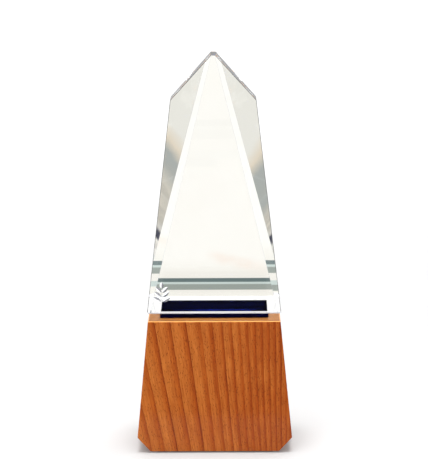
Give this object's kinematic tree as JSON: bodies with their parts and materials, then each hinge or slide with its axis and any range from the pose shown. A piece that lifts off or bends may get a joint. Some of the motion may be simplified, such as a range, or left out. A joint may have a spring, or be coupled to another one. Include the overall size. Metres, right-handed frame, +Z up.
{
  "type": "trophy",
  "caption": "Obelisk-shaped faceted crystal award bonded to a dark blue glass slab on a tapered solid wooden base.",
  "frame": {"origin": "middle of the felt's underside, where the award rests on a table", "axes": "+Z up along the obelisk, +X to the right across its width, +Y from the front to the back"},
  "size_m": [0.0978, 0.055, 0.2506],
  "materials": {
    "felt": "pressed felt",
    "wood": "satin lacquer over reddish straight-grained wood",
    "clear_adhesive": "clear cured resin",
    "blue_glass": "polished, nearly opaque dark blue",
    "crystal": "polished optical crystal"
  },
  "bodies": {
    "root": {"felt_pad": "felt", "wooden_base": "wood", "slab_adhesive": "clear_adhesive", "blue_glass_slab": "blue_glass", "crystal_adhesive": "clear_adhesive", "crystal_obelisk": "crystal"}
  },
  "joints": []
}
